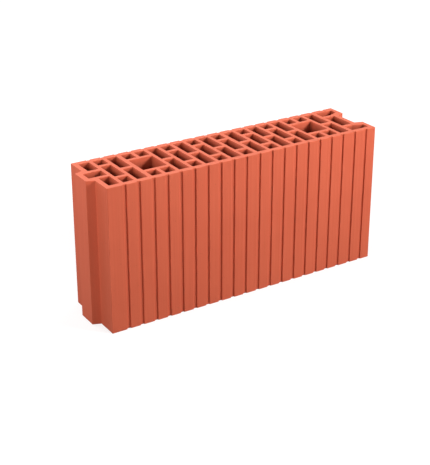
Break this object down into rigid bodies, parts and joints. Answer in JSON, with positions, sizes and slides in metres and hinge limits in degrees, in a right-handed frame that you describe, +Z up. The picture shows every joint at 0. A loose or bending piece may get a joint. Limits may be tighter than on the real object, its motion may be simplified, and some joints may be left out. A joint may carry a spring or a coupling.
{
  "type": "hollow clay block",
  "caption": "Vertically cored fired-clay partition block with a tongue on one end, a matching groove on the other, grip cores and grooved long faces that key the plaster.",
  "frame": {"origin": "middle of the block, tongue included, on the lower bed face", "axes": "+X along the block from the tongued end to the grooved end, +Y through the wall to its back face, +Z up along the cores"},
  "size_m": [0.513, 0.12, 0.238],
  "materials": {
    "fired_clay": "unglazed matt red fired clay"
  },
  "bodies": {
    "root": {"hollow_clay_block": "fired_clay"}
  },
  "joints": []
}
